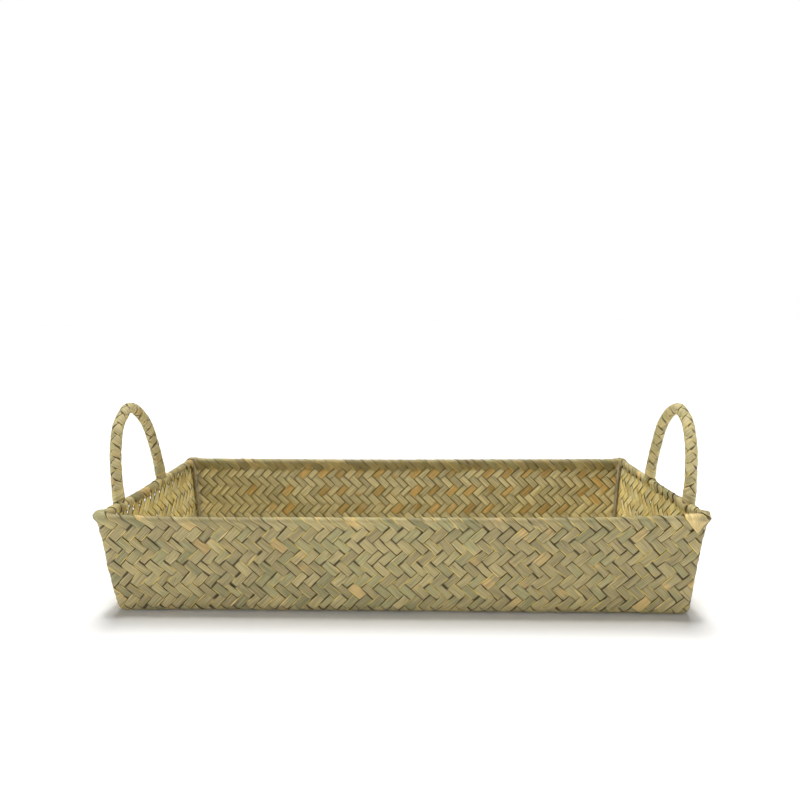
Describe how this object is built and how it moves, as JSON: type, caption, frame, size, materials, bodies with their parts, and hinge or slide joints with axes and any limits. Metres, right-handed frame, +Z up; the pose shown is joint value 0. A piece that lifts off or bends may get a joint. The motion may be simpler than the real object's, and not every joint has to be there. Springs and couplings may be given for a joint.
{
  "type": "bread basket",
  "caption": "Shallow rectangular tray basket plaited on the slant from flat seagrass strips over a wire frame, with a straw-wrapped loop handle swinging at each end.",
  "frame": {"origin": "middle of the underside, at floor level, half way along the length and the width", "axes": "+Z up, +X along the length towards the right handle, -Y to the front (the side the picture shows)"},
  "size_m": [0.3748, 0.144, 0.1246],
  "materials": {
    "seagrass_weave": "dried plaited seagrass, matt with a faint sheen",
    "seagrass_wrap": "dried seagrass strip wound tightly, faint sheen",
    "frame_wire": "dull grey-beige lacquered steel wire",
    "handle_wire": "dull lacquered steel wire"
  },
  "bodies": {
    "basket": {"woven_tray": "seagrass_weave", "rim_fold": "seagrass_weave", "rim_wire": "frame_wire", "base_wire": "frame_wire", "corner_post_front_left": "frame_wire", "corner_post_front_right": "frame_wire", "corner_post_back_left": "frame_wire", "corner_post_back_right": "frame_wire", "foot_lashing_left_front": "seagrass_wrap", "foot_lashing_left_back": "seagrass_wrap", "foot_lashing_right_front": "seagrass_wrap", "foot_lashing_right_back": "seagrass_wrap"},
    "handle_left": {"handle_left_wire": "handle_wire", "handle_left_wrap": "seagrass_wrap"},
    "handle_right": {"handle_right_wire": "handle_wire", "handle_right_wrap": "seagrass_wrap"}
  },
  "joints": [
    {"name": "handle_left_swing", "type": "hinge", "parent": "basket", "child": "handle_left", "pos_m": [-0.1795, -0.016, 0.0615], "axis": [0, -1, 0], "range_deg": [-94.5, 100.5]},
    {"name": "handle_right_swing", "type": "hinge", "parent": "basket", "child": "handle_right", "pos_m": [0.1795, -0.016, 0.0615], "axis": [0, 1, 0], "range_deg": [-94.5, 100.5]}
  ]
}
